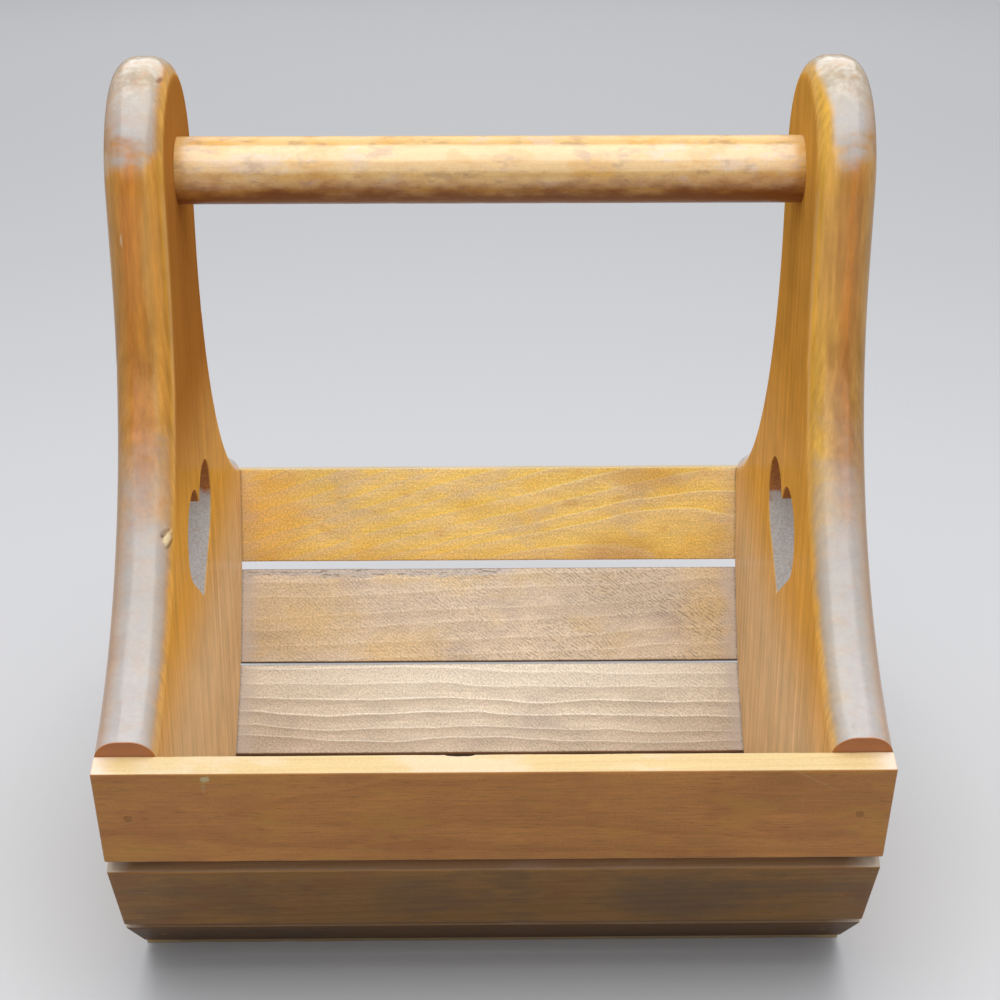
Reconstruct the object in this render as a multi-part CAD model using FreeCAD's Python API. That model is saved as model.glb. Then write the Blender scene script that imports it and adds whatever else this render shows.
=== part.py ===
import FreeCAD, Part
import os
from math import asin, cos, radians, sin, sqrt

# Carry tote of varnished pine. Two arched end panels, each pierced by a heart, are joined by a round
# handle and by nine slats nailed over the panels' faceted lower edges: three in front, three behind
# and three underneath. X runs along the slats, the front faces -Y and Z points up. The origin is on
# the surface that the tote stands on, below its middle. All sizes are in millimetres.

# Slats
slat_width = 44.5
slat_thickness = 9.0
slat_edge_radius = 0.7
# End panels
panel_spacing = 236.0            # clear width between the two panels
panel_thickness = 22.0
panel_edge_radius = 9.0          # round-over of the arch, neck and sweep
arch_radius = 42.5               # also half the neck's width
neck_length = 31.0               # straight neck between the arch's centre and the sweep
# The panel's lower edge: the lean of each side facet from the vertical, and where the slats lie
upper_facet_tilt = 15.0
middle_facet_tilt = 31.0
lower_facet_tilt = 49.5
upper_corner_clearance = 1.8     # slat edge to the corner between upper and middle facet
middle_corner_clearance = 0.6    # slat edge to the corner between middle and lower facet
lower_slat_clearance = 0.5       # lower slat's edge to the nearest bottom slat
seat_rise = 6.3                  # the upper facet runs on this far above its slat
bottom_slat_gap = 0.75
bottom_slat_overhang = 4.2       # the bottom slats reach this far past the panel's foot
# Handle
handle_diameter = 25.4
handle_rise = 175.2              # handle's axis above the top of the side slats' inner edge
handle_socket_depth = 10.0
handle_clearance = 0.1           # glue line round the handle and at its ends
# Heart cut through each panel
heart_lobe_radius = 18.8
heart_lobe_spacing = 33.8
heart_tip_drop = 34.3            # tip below the lobes' centres
heart_rise = 31.5                # lobes' centres above the side slats' inner edge
# Finishing nails, one at each end of each slat
nail_length = 32.0
nail_shank_diameter = 1.8
nail_head_diameter = 2.8
nail_head_height = 1.2
nail_point_length = 2.5
nail_set_depth = 1.5             # head below the slat's face, under the filler
nail_clearance = 0.05
# One wood screw through each panel into the handle's end, under a flush plug
screw_length = 30.0
screw_shank_diameter = 4.0
screw_head_diameter = 8.0
screw_head_height = 2.6
screw_point_length = 4.0
screw_slot_width = 1.2
screw_slot_depth = 1.0
screw_clearance = 0.1
plug_diameter = 9.5
plug_thickness = 3.4
plug_clearance = 0.05

# Sizes that follow from those above
slat_length = panel_spacing + 2 * panel_thickness
panel_inner_x = panel_spacing / 2
panel_outer_x = panel_inner_x + panel_thickness
# three slats and the two gaps between them lie across the bottom
bottom_half_width = (3 * slat_width + 2 * bottom_slat_gap) / 2
foot_half_width = bottom_half_width - bottom_slat_overhang
# the lower slat's square edge has to clear the bottom slats' upper corner
lower_slat_start = bottom_slat_overhang * sin(radians(lower_facet_tilt)) + lower_slat_clearance


def up_facet(point, tilt, distance):
    """The point a distance up a facet that leans out by tilt; points are (out from middle, height)."""
    lean = radians(tilt)
    return (point[0] + distance * sin(lean), point[1] + distance * cos(lean))


def lay_out_sides():
    """Corners of the panel's faceted edge from foot to sweep, and where each side slat starts."""
    facets = (
        ("lower", lower_facet_tilt, lower_slat_start, middle_corner_clearance),
        ("middle", middle_facet_tilt, middle_corner_clearance, upper_corner_clearance),
        ("upper", upper_facet_tilt, upper_corner_clearance, seat_rise),
    )
    corners = [(foot_half_width, slat_thickness)]
    seats = {}
    for name, tilt, below, above in facets:
        seats[name] = (up_facet(corners[-1], tilt, below), tilt)
        corners.append(up_facet(corners[-1], tilt, below + slat_width + above))
    return corners, seats


panel_corners, side_seats = lay_out_sides()
slat_top_z = up_facet(*side_seats["upper"], slat_width)[1]
handle_z = slat_top_z + handle_rise
neck_foot_z = handle_z - neck_length
heart_z = slat_top_z + heart_rise


def placed_on_seat(start, tilt):
    """Placement of a front or bottom slat: local X along it, Y up its face and Z out of its face."""
    turn = FreeCAD.Rotation(FreeCAD.Vector(1, 0, 0), 90 + tilt)
    return FreeCAD.Placement(FreeCAD.Vector(0, -start[0], start[1]), turn)


def turned_to_back(placement):
    """The same seat on the other side of the tote, half a turn round the upright axis."""
    half_turn = FreeCAD.Rotation(FreeCAD.Vector(0, 0, 1), 180)
    return FreeCAD.Placement(FreeCAD.Vector(0, 0, 0), half_turn).multiply(placement)


def lay_out_slats():
    """Placement of every slat by its node's name."""
    flat_tilt = 90
    slats = {}
    for level, (start, tilt) in side_seats.items():
        front = placed_on_seat(start, tilt)
        slats["front_slat_" + level] = front
        slats["rear_slat_" + level] = turned_to_back(front)
    outer = placed_on_seat((bottom_half_width - slat_width, slat_thickness), flat_tilt)
    slats["bottom_slat_front"] = outer
    slats["bottom_slat_middle"] = placed_on_seat((-slat_width / 2, slat_thickness), flat_tilt)
    slats["bottom_slat_rear"] = turned_to_back(outer)
    return slats


def cylinder_down(radius, top, length):
    """Cylinder about local Z that hangs from a height."""
    return Part.makeCylinder(radius, length, FreeCAD.Vector(0, 0, top - length))


def pointed_shank(radius, top, length, point_length):
    """Round shank about local Z that hangs from a height and ends in a point."""
    straight = cylinder_down(radius, top, length - point_length)
    point_base = FreeCAD.Vector(0, 0, top - length)
    point = Part.makeCone(0, radius, point_length, point_base)
    return straight.fuse(point)


def make_nail(clearance=0.0):
    """Finishing nail in a slat's local frame, its head below the slat's face; or its hole."""
    head_top = slat_thickness - nail_set_depth
    shank = pointed_shank(nail_shank_diameter / 2 + clearance, head_top, nail_length + clearance,
                          nail_point_length)
    head = cylinder_down(nail_head_diameter / 2 + clearance, head_top, nail_head_height + clearance)
    return shank.fuse(head).removeSplitter()


def make_filler(clearance=0.0):
    """Putty that fills the nail's hole flush with the slat's face; or its hole."""
    return cylinder_down(nail_head_diameter / 2 + clearance, slat_thickness, nail_set_depth)


def at_nails(shape, placement):
    """Copies of a nail-sized shape at both nail places of a slat."""
    nail_x = slat_length / 2 - panel_thickness / 2
    copies = []
    for x in (-nail_x, nail_x):
        copy = shape.copy()
        local = FreeCAD.Placement(FreeCAD.Vector(x, slat_width / 2, 0), FreeCAD.Rotation())
        copy.Placement = placement.multiply(local)
        copies.append(copy)
    return copies


def nail_holes(placement):
    """Everything that a slat's two nails and their filler take out of the wood."""
    return at_nails(make_nail(nail_clearance), placement) + at_nails(make_filler(nail_clearance), placement)


def make_slat(placement):
    """Slat with eased edges and its nail holes, lying on its seat."""
    corner = FreeCAD.Vector(-slat_length / 2, 0, 0)
    slat = Part.makeBox(slat_length, slat_width, slat_thickness, corner)
    slat = slat.makeFillet(slat_edge_radius, slat.Edges)
    slat.Placement = placement
    return slat.cut(nail_holes(placement))


def panel_profile():
    """Closed outline of an end panel in the YZ plane."""
    def at(out, z):
        return FreeCAD.Vector(0, out, z)

    # each sweep is one arc that leaves the neck upright and ends at the top of the upper facet
    seat_top = panel_corners[-1]
    reach = seat_top[0] - arch_radius
    drop = neck_foot_z - seat_top[1]
    sweep_radius = (reach ** 2 + drop ** 2) / (2 * reach)
    half_turn = asin(drop / sweep_radius) / 2
    mid_out = arch_radius + sweep_radius * (1 - cos(half_turn))
    mid_z = neck_foot_z - sweep_radius * sin(half_turn)

    edges = []
    for side in (-1, 1):
        facet_points = [at(side * out, z) for out, z in panel_corners]
        for start, end in zip(facet_points, facet_points[1:]):
            edges.append(Part.makeLine(start, end))
        neck_foot = at(side * arch_radius, neck_foot_z)
        edges.append(Part.Arc(facet_points[-1], at(side * mid_out, mid_z), neck_foot).toShape())
        edges.append(Part.makeLine(neck_foot, at(side * arch_radius, handle_z)))
    arch = Part.Arc(at(-arch_radius, handle_z), at(0, handle_z + arch_radius), at(arch_radius, handle_z))
    foot = Part.makeLine(at(-foot_half_width, slat_thickness), at(foot_half_width, slat_thickness))
    edges += [arch.toShape(), foot]
    return Part.Wire(Part.__sortEdges__(edges))


def heart_profile():
    """Closed outline of the heart in the YZ plane: two round lobes and two straight sides."""
    half = heart_lobe_spacing / 2
    r = heart_lobe_radius
    to_tip = sqrt(half ** 2 + heart_tip_drop ** 2)
    tangent = sqrt(to_tip ** 2 - r ** 2)
    # unit vector from the tip to a lobe's centre, turned outwards to its tangent
    cos_turn = tangent / to_tip
    sin_turn = r / to_tip
    along_y = (half * cos_turn + heart_tip_drop * sin_turn) / to_tip
    along_z = (heart_tip_drop * cos_turn - half * sin_turn) / to_tip
    tip = FreeCAD.Vector(0, 0, heart_z - heart_tip_drop)
    cusp = FreeCAD.Vector(0, 0, heart_z + sqrt(r ** 2 - half ** 2))
    edges = []
    for side in (-1, 1):
        touch = FreeCAD.Vector(0, side * along_y * tangent, tip.z + along_z * tangent)
        lobe_top = FreeCAD.Vector(0, side * half, heart_z + r)
        edges.append(Part.makeLine(tip, touch))
        edges.append(Part.Arc(touch, lobe_top, cusp).toShape())
    return Part.Wire(Part.__sortEdges__(edges))


def extruded(profile, start_x, length):
    """Solid of a closed profile in the YZ plane, from an X place on."""
    face = Part.Face(profile)
    face.translate(FreeCAD.Vector(start_x, 0, 0))
    return face.extrude(FreeCAD.Vector(length, 0, 0))


def is_rounded_edge(edge):
    """True for the arch, neck and sweep where they meet either flat side of the panel."""
    bounds = edge.BoundBox
    tolerance = 0.01
    return bounds.XLength < tolerance and bounds.ZMax > panel_corners[-1][1] + tolerance


def on_handle_axis(shape):
    """A shape about local Z, laid on the handle's axis with its Z pointing out of the right panel."""
    turn = FreeCAD.Rotation(FreeCAD.Vector(0, 1, 0), 90)
    laid = shape.copy()
    laid.Placement = FreeCAD.Placement(FreeCAD.Vector(0, 0, handle_z), turn)
    return laid


def make_screw(clearance=0.0):
    """Wood screw of the right panel, laid on the handle's axis; or its hole."""
    head_top = panel_outer_x - plug_thickness
    shank = pointed_shank(screw_shank_diameter / 2 + clearance, head_top, screw_length + clearance,
                          screw_point_length)
    head = cylinder_down(screw_head_diameter / 2 + clearance, head_top, screw_head_height + clearance)
    return on_handle_axis(shank.fuse(head).removeSplitter())


def make_slotted_screw():
    """The screw with the slot for its driver."""
    slot_corner = FreeCAD.Vector(panel_outer_x - plug_thickness - screw_slot_depth,
                                 -screw_head_diameter, handle_z - screw_slot_width / 2)
    slot = Part.makeBox(screw_slot_depth, 2 * screw_head_diameter, screw_slot_width, slot_corner)
    return make_screw().cut(slot)


def make_plug(clearance=0.0):
    """Wooden plug, flush with the outside of the right panel; or its hole."""
    return on_handle_axis(cylinder_down(plug_diameter / 2 + clearance, panel_outer_x, plug_thickness))


def mirrored(shape):
    """The same shape at the other end of the tote, half a turn round the upright axis."""
    copy = shape.copy()
    copy.rotate(FreeCAD.Vector(0, 0, 0), FreeCAD.Vector(0, 0, 1), 180)
    return copy


def make_handle():
    """Round handle whose ends stand in the panels' sockets, bored for the two screws."""
    reach = panel_inner_x + handle_socket_depth - handle_clearance
    handle = on_handle_axis(cylinder_down(handle_diameter / 2, reach, 2 * reach))
    screw_hole = make_screw(screw_clearance)
    return handle.cut([screw_hole, mirrored(screw_hole)])


def make_right_panel(slats):
    """End panel with rounded arch and sweeps, heart, handle socket and the holes of its fasteners."""
    panel = extruded(panel_profile(), panel_inner_x, panel_thickness)
    rounded = [edge for edge in panel.Edges if is_rounded_edge(edge)]
    panel = panel.makeFillet(panel_edge_radius, rounded)
    heart = extruded(heart_profile(), panel_inner_x, panel_thickness)
    socket = on_handle_axis(cylinder_down(handle_diameter / 2 + handle_clearance,
                                          panel_inner_x + handle_socket_depth, panel_inner_x))
    cuts = [heart, socket, make_screw(screw_clearance), make_plug(plug_clearance)]
    for placement in slats.values():
        cuts += nail_holes(placement)
    return panel.cut(cuts)


def export(name, shape):
    """Write one node, checked to be made of sound solids."""
    assert shape.isValid() and shape.Solids, name
    shape.exportStep("parts/" + name + ".step")


def main():
    os.makedirs("parts", exist_ok=True)
    slats = lay_out_slats()
    right_panel = make_right_panel(slats)
    screw = make_slotted_screw()
    plug = make_plug()

    export("right_panel", right_panel)
    export("left_panel", mirrored(right_panel))
    export("handle", make_handle())
    export("handle_screws", Part.makeCompound([screw, mirrored(screw)]))
    export("handle_screw_plugs", Part.makeCompound([plug, mirrored(plug)]))
    for name, placement in slats.items():
        export(name, make_slat(placement))
    for group in ("front", "rear", "bottom"):
        nails = []
        fillers = []
        for name, placement in slats.items():
            if name.startswith(group):
                nails += at_nails(make_nail(), placement)
                fillers += at_nails(make_filler(), placement)
        export(group + "_nails", Part.makeCompound(nails))
        export(group + "_nail_fillers", Part.makeCompound(fillers))


main()
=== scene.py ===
"""Looks of the slatted carry tote: worn varnished pine panels, handle and slats round the CAD frame."""
import math

import bmesh
import bpy
import numpy as np
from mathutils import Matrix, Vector, noise


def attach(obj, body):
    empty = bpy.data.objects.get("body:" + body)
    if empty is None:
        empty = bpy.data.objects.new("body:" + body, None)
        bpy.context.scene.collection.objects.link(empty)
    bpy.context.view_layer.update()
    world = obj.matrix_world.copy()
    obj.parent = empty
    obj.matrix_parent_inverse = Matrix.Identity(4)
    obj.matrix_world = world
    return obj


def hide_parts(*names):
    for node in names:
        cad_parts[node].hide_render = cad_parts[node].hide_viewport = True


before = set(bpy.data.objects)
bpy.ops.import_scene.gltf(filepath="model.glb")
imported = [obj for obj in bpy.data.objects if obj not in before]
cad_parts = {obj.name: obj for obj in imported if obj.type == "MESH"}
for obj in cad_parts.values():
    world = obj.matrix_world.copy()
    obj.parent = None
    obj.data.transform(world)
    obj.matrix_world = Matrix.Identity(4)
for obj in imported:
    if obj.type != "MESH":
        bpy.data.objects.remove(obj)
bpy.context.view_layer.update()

MM = 0.001

# Sizes from the CAD, in metres
SLAT_HALF_LENGTH = 0.140
SLAT_WIDTH = 0.0445
SLAT_THICKNESS = 0.009
PANEL_INNER_X = 0.118
PANEL_OUTER_X = 0.140
HANDLE_RADIUS = 0.0127
HANDLE_HALF_LENGTH = 0.1279
HANDLE_Z = 0.30081
NAIL_X = 0.129
# lean of the slats, in degrees from upright
SIDE_TILTS = {"upper": 15.0, "middle": 31.0, "lower": 49.5}
BOTTOM_TILT = 90.0
# where the panel's upper facet ends: out from the middle, and height
FACET_TOP = (0.13817, 0.13170)
# the box round a heart
HEART_HALF_WIDTH = 0.040
HEART_FOOT = 0.116
HEART_TOP = 0.184


def linear(colour):
    """A colour of three sRGB values, 0 to 255, as a linear one with alpha; anything else as it is."""
    if not isinstance(colour, tuple) or len(colour) != 3:
        return colour
    shares = [value / 255 for value in colour]
    return (*(v / 12.92 if v <= 0.04045 else ((v + 0.055) / 1.055) ** 2.4 for v in shares), 1.0)


# ---- shader building blocks

class Shader:
    """One material's node tree, built with short calls.

    Inputs are numbers, tuples or sockets. A colour is a socket or three sRGB values, 0 to 255.
    """

    def __init__(self, name):
        self.material = bpy.data.materials.new(name)
        self.material.use_nodes = True
        self.tree = self.material.node_tree
        self.tree.nodes.clear()
        self.output = self.tree.nodes.new("ShaderNodeOutputMaterial")

    def node(self, kind, inputs, **settings):
        """New node; inputs maps its sockets to values, and None leaves a socket as it is."""
        made = self.tree.nodes.new(kind)
        for key, value in settings.items():
            setattr(made, key, value)
        for key, value in inputs.items():
            if isinstance(value, bpy.types.NodeSocket):
                self.tree.links.new(value, made.inputs[key])
            elif value is not None:
                made.inputs[key].default_value = value
        return made

    def math(self, operation, a, b=None):
        return self.node("ShaderNodeMath", {0: a, 1: b}, operation=operation).outputs[0]

    def add(self, a, b):
        return self.math("ADD", a, b)

    def sub(self, a, b):
        return self.math("SUBTRACT", a, b)

    def mul(self, a, b):
        return self.math("MULTIPLY", a, b)

    def larger(self, a, b):
        return self.math("MAXIMUM", a, b)

    def swing(self, noise_value, size):
        """A noise that lies about 0.5, moved to lie about nought and scaled."""
        return self.mul(self.sub(noise_value, 0.5), size)

    def left_by(self, mask, share):
        """What is left of one where a mask takes its share."""
        return self.sub(1.0, self.mul(mask, share))

    def vector(self, operation, a, b):
        return self.node("ShaderNodeVectorMath", {0: a, 1: b}, operation=operation).outputs[0]

    def split(self, place):
        return tuple(self.node("ShaderNodeSeparateXYZ", {0: place}).outputs)

    def joined(self, x, y, z):
        return self.node("ShaderNodeCombineXYZ", {0: x, 1: y, 2: z}).outputs[0]

    def noise(self, place, detail, roughness):
        inputs = {"Vector": place, "Scale": 1.0, "Detail": detail, "Roughness": roughness}
        return self.node("ShaderNodeTexNoise", inputs).outputs[0]

    def grain(self, place, rates, shift, detail=2.0, roughness=0.5):
        """Noise with its own rate along each axis; the shift picks another part of it."""
        stretched = self.vector("ADD", self.vector("MULTIPLY", place, rates), shift)
        return self.noise(stretched, detail, roughness)

    def remap(self, value, low, high, to_low=0.0, to_high=1.0, smooth=True):
        """Clamped change of range; smooth eases both ends."""
        inputs = {"Value": value, "From Min": low, "From Max": high, "To Min": to_low, "To Max": to_high}
        kind = "SMOOTHSTEP" if smooth else "LINEAR"
        return self.node("ShaderNodeMapRange", inputs, interpolation_type=kind, clamp=True).outputs[0]

    def ramp(self, value, stops):
        """Colour or grey ramp; each stop is (place, colour or grey)."""
        made = self.node("ShaderNodeValToRGB", {0: value})
        elements = made.color_ramp.elements
        while len(elements) < len(stops):
            elements.new(0.5)
        for element, (place, colour) in zip(elements, stops):
            element.position = place
            element.color = linear(colour) if isinstance(colour, tuple) else (colour, colour, colour, 1.0)
        return made.outputs[0]

    def mix(self, factor, a, b):
        inputs = {0: factor, 6: linear(a), 7: linear(b)}
        return self.node("ShaderNodeMix", inputs, data_type="RGBA").outputs[2]

    def scaled_colour(self, colour, grey):
        """The colour times a grey value that may pass one."""
        return self.vector("MULTIPLY", colour, self.joined(grey, grey, grey))

    def bump(self, height, strength, distance, normal=None):
        inputs = {"Strength": strength, "Distance": distance, "Height": height, "Normal": normal}
        return self.node("ShaderNodeBump", inputs).outputs[0]

    def principled(self, inputs):
        """The material, with a principled surface; uniform values go straight into its sockets."""
        made = self.node("ShaderNodeBsdfPrincipled", inputs)
        self.tree.links.new(made.outputs[0], self.output.inputs["Surface"])
        return self.material

    def surface(self, colour, roughness, normal, coat=0.0, coat_roughness=0.1, coat_normal=None,
                specular=0.5, coat_ior=1.5):
        """Wood, putty or paper, with or without a coat of varnish."""
        return self.principled({
            "Base Color": colour, "Roughness": roughness, "Normal": normal, "IOR": 1.5,
            "Specular IOR Level": specular, "Coat Weight": coat, "Coat Roughness": coat_roughness,
            "Coat IOR": coat_ior, "Coat Normal": coat_normal,
        })

    def metal(self, colour, roughness, normal):
        return self.principled({
            "Base Color": colour, "Roughness": roughness, "Normal": normal, "Metallic": 1.0,
        })


def object_place(sh):
    return sh.node("ShaderNodeTexCoord", {}).outputs["Object"]


def board_place(sh):
    """Place in the board's own frame, kept on the mesh: along, across and through the board."""
    made = sh.node("ShaderNodeAttribute", {}, attribute_type="GEOMETRY", attribute_name="board")
    return made.outputs["Vector"]


# ---- pine

# across one year: how dark the late wood is, and how high its line stands on a rough face
LATE_WOOD = [(0.0, 0.05), (0.42, 0.1), (0.74, 0.55), (0.9, 1.0), (0.965, 0.9), (1.0, 0.05)]
RAISED_LINE = [(0.0, 0.9), (0.05, 0.0), (0.88, 0.0), (0.965, 1.0)]


def ring_phase(sh, board, pith, lean, ring_width, wander, seed):
    """Place within the year, 0 to 1, and how marked each ring is.

    The rings go round a pith off the board: pith is (across, through) at the board's middle and lean
    how both change per metre along.
    """
    along, across, through = sh.split(board)
    bend = sh.grain(board, (11, 26, 26), (seed, 0, 0), 2.5)
    swirl = sh.swing(bend, wander)
    squares = []
    for value, start, slope in zip((across, through), pith, lean):
        from_pith = sh.sub(value, sh.add(sh.mul(along, slope), start))
        squares.append(sh.mul(from_pith, from_pith))
    radius = sh.add(sh.math("SQRT", sh.add(*squares)), swirl)
    turns = sh.math("DIVIDE", radius, ring_width)
    uneven = sh.noise(sh.joined(sh.mul(turns, 0.31), seed, 0.0), 1.0, 0.5)
    turns = sh.add(turns, sh.mul(uneven, 2.4))
    strength = sh.noise(sh.joined(sh.mul(turns, 0.83), seed + 7.0, 0.0), 1.0, 0.6)
    return sh.math("FRACT", turns), sh.remap(strength, 0.3, 0.7, 0.45, 1.0)


def growth_rings(sh, board, *rings):
    """Late wood, 0 to 1, darkening towards the end of each year; rings are as for ring_phase."""
    year, marked = ring_phase(sh, board, *rings)
    return sh.mul(sh.ramp(year, LATE_WOOD), marked)


def fibres(sh, board, seed, along_rate, across_rate):
    """Fine streaks along the grain, about 0.5 in the mean."""
    rates = (along_rate, across_rate, across_rate)
    return sh.grain(board, rates, (seed, seed, 0), 3.0, 0.65)


def streaks(sh, board, seed):
    """Broad streaks along the grain, a few millimetres wide."""
    return sh.grain(board, (5.0, 260.0, 260.0), (seed, 1.3 * seed, 0))


def clouds(sh, board, seed, rate, along_share=0.5):
    """Broad blotches, longer along the grain."""
    return sh.grain(board, (along_share * rate, rate, rate), (seed, 0, seed), 3.0, 0.6)


def speckle(sh, board, seed, rate=1100.0):
    """Fine grit that shows on bare, rough wood."""
    return sh.grain(board, (rate, rate, rate), (0, seed, 0), 2.0, 0.7)


def pores(sh, board, seed, low=0.66, high=0.76):
    """Short thin dashes along the grain, 0 to 1."""
    dash = sh.grain(board, (150.0, 2100.0, 2100.0), (seed, 0, 3.0), 1.0)
    return sh.remap(dash, low, high)


def wood_colour(sh, pale, dark, late, fibre, depth):
    """Early wood to late wood, with the fibres as lighter and darker lines."""
    return shaded(sh, sh.mix(late, pale, dark), fibre, depth, 0.2)


def shaded(sh, colour, noise_value, depth, reach=0.16):
    """The colour made darker and lighter by a noise that lies about 0.5."""
    grey = sh.remap(noise_value, 0.5 - reach, 0.5 + reach, 1.0 - depth, 1.0 + depth, False)
    return sh.scaled_colour(colour, grey)


def tinted(sh, colour, board, tints):
    """Blotches of other colours; each tint is (colour, amount, seed, rate, threshold)."""
    for tint, amount, seed, rate, threshold in tints:
        blotch = clouds(sh, board, seed, rate)
        colour = sh.mix(sh.remap(blotch, threshold, threshold + 0.14, 0.0, amount), colour, tint)
    return colour


def fray(sh, place, seed, rate, swing, along_share=0.5):
    """A blotchy length about nought that makes a border uneven."""
    return sh.swing(clouds(sh, place, seed, rate, along_share), swing)


def frayed_place(sh, board, seed, rate, swing, across_share=0.5, along_share=0.5):
    """Along and across the board, for marks with uneven borders."""
    along, across, _ = sh.split(board)
    uneven = fray(sh, board, seed, rate, swing, along_share)
    return sh.add(along, uneven), sh.add(across, sh.mul(uneven, across_share))


def from_spot(sh, place, centre, size):
    """Square of the distance from an ellipse's centre; it is one at the rim, at the given half sizes."""
    parts = []
    for value, middle, reach in zip(place, centre, size):
        part = sh.mul(sh.sub(value, middle), 1.0 / reach)
        parts.append(sh.mul(part, part))
    return sh.add(*parts)


def soft_spot(sh, place, centre, size):
    """One at the centre, fading to nought at the rim of an ellipse."""
    return sh.remap(from_spot(sh, place, centre, size), 1.0, 0.0)


def firm_spot(sh, place, centre, size):
    """One over the middle of an ellipse, with a narrow border."""
    return sh.remap(sh.math("SQRT", from_spot(sh, place, centre, size)), 0.6, 1.0, 1.0, 0.0)


# ---- panels

PANEL_PALE = (236, 178, 80)
PANEL_DARK = (206, 138, 54)
# painted reflection of the pale slats over the panels' lower part
PANEL_FOOT_REFLECTION = (228, 204, 168)
PANEL_LINES = (156, 102, 52)
# painted shade over the inner sides between the necks
SHADED_INNER_SIDE = (172, 104, 50)
CUT_END = (178, 108, 52)
# colours across the front of each arm, from the inside (0) to the outside (1)
LEFT_ARM = [(0.0, (206, 148, 64)), (0.14, (216, 148, 58)), (0.3, (202, 146, 72)),
            (0.4, (192, 124, 46)), (0.62, (186, 110, 36)), (0.78, (196, 132, 58)),
            (1.0, (200, 148, 82))]
RIGHT_ARM = [(0.0, (224, 172, 66)), (0.14, (228, 176, 72)), (0.3, (214, 160, 78)),
             (0.46, (180, 122, 58)), (0.6, (184, 112, 44)), (0.7, (168, 112, 56)),
             (0.84, (188, 136, 70)), (1.0, (200, 154, 98))]


def make_panel_material():
    """Glossy orange-brown varnish over upright grain; painted reflection and milky wear on the arches and
    sweeps.
    """
    sh = Shader("panel_varnish")
    place = object_place(sh)
    x, y, z = sh.split(place)
    board = sh.joined(z, y, x)
    thickness = PANEL_OUTER_X - PANEL_INNER_X
    from_inside = sh.math("DIVIDE", sh.sub(sh.math("ABSOLUTE", x), PANEL_INNER_X), thickness)
    fibre = fibres(sh, board, 11.0, 20.0, 1500.0)
    haze_and_sheen = arm_haze_and_sheen(sh, place, from_inside)
    heart_wall = heart_wall_share(sh, place, from_inside)
    inner_side = sh.remap(from_inside, 0.03, 0.0)
    # the inner sides are duller between the necks, and darker there as painted shade, more on the left panel
    between_necks = sh.mul(inner_side, sh.remap(z, 0.165, 0.225))
    side_shade_share = sh.remap(x, -0.05, 0.05, 0.72, 0.24, False)
    cut = cut_end_share(sh, place)
    colour = panel_wood(sh, place, board, from_inside, fibre)
    # painted reflection of the lamps, with milky wear, on the arches and sweeps
    colour = sh.mix(sh.mul(haze_and_sheen, 0.9), colour, haze_and_sheen_colour(sh, place, from_inside))
    # the hearts' walls, with a painted sheen on their lower part
    colour = sh.mix(sh.mul(heart_wall, 0.96), colour, heart_wall_colour(sh, place))
    colour = sh.mix(sh.mul(between_necks, side_shade_share), colour, SHADED_INNER_SIDE)
    colour = sh.mix(sh.mul(cut, 0.85), colour, CUT_END)
    colour, scar = scarred(sh, place, colour)
    roughness = sh.add(sh.remap(fibre, 0.2, 0.8, 0.32, 0.46), sh.mul(haze_and_sheen, 0.2))
    coat = sh.sub(0.9, sh.mul(sh.larger(inner_side, heart_wall), 0.8))
    coat = sh.mul(coat, sh.sub(1.0, between_necks))
    coat = sh.mul(coat, sh.left_by(sh.larger(scar, cut), 0.9))
    normal = sh.bump(fibre, 0.3, 0.0001)
    normal = sh.bump(scar, 0.9, 0.0012, normal)
    return sh.surface(colour, roughness, normal, coat=coat, coat_roughness=0.19,
                      coat_normal=varnish_surface(sh, place), specular=0.0)


def panel_wood(sh, place, board, from_inside, fibre):
    """A panel's wood before wear: gold sides, streaked brown long edges, painted reflection low, painted
    shade on sweeps.
    """
    _, _, z = sh.split(place)
    off_sides = sh.mul(sh.remap(from_inside, 0.0, 0.1), sh.remap(from_inside, 1.0, 0.96))
    late = growth_rings(sh, board, (0.012, 0.25), (0.05, 0.02), 0.0027, 0.009, 4.0)
    ring_share = sh.remap(off_sides, 0.0, 1.0, 0.22, 0.12)
    colour = wood_colour(sh, PANEL_PALE, PANEL_DARK, sh.mul(late, ring_share), fibre, 0.07)
    # painted reflection of the pale slats: paler towards the foot
    colour = sh.mix(sh.mul(sh.remap(z, 0.15, 0.09), 0.8), colour, PANEL_FOOT_REFLECTION)
    dark_lines = sh.grain(board, (9.0, 520.0, 40.0), (6.0, 0, 0), 2.0, 0.6)
    colour = sh.mix(sh.remap(dark_lines, 0.58, 0.74, 0.0, 0.34), colour, PANEL_LINES)
    colour = sh.mix(sh.mul(off_sides, 0.85), colour, arm_colour(sh, place, from_inside))
    # the edges are darker on the arches, and as painted shade on the upper sweeps, which turn up to the lamp
    sweep = sh.mul(sh.remap(z, 0.262, 0.236), sh.remap(z, 0.17, 0.2))
    brown = sh.larger(sweep, sh.remap(z, 0.3, 0.325))
    colour = sh.scaled_colour(colour, sh.left_by(sh.mul(brown, off_sides), 0.14))
    colour = shaded(sh, colour, streaks(sh, board, 2.0), 0.12, 0.22)
    colour = shaded(sh, colour, fibres(sh, board, 37.0, 16.0, 620.0), 0.07)
    colour = shaded(sh, colour, clouds(sh, place, 31.0, 42.0, 1.0), 0.07)
    return sh.mix(off_sides, colour, shaded(sh, colour, fibres(sh, board, 47.0, 60.0, 380.0), 0.11))


def varnish_surface(sh, place):
    """Normal of the panels' coat: slow waves with a fine orange peel."""
    waves = sh.grain(place, (240, 240, 30), (0, 0, 4))
    orange_peel = sh.grain(place, (900, 900, 500), (3, 0, 4), 1.0)
    return sh.bump(orange_peel, 0.12, 0.00006, sh.bump(waves, 0.3, 0.0004))


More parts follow.
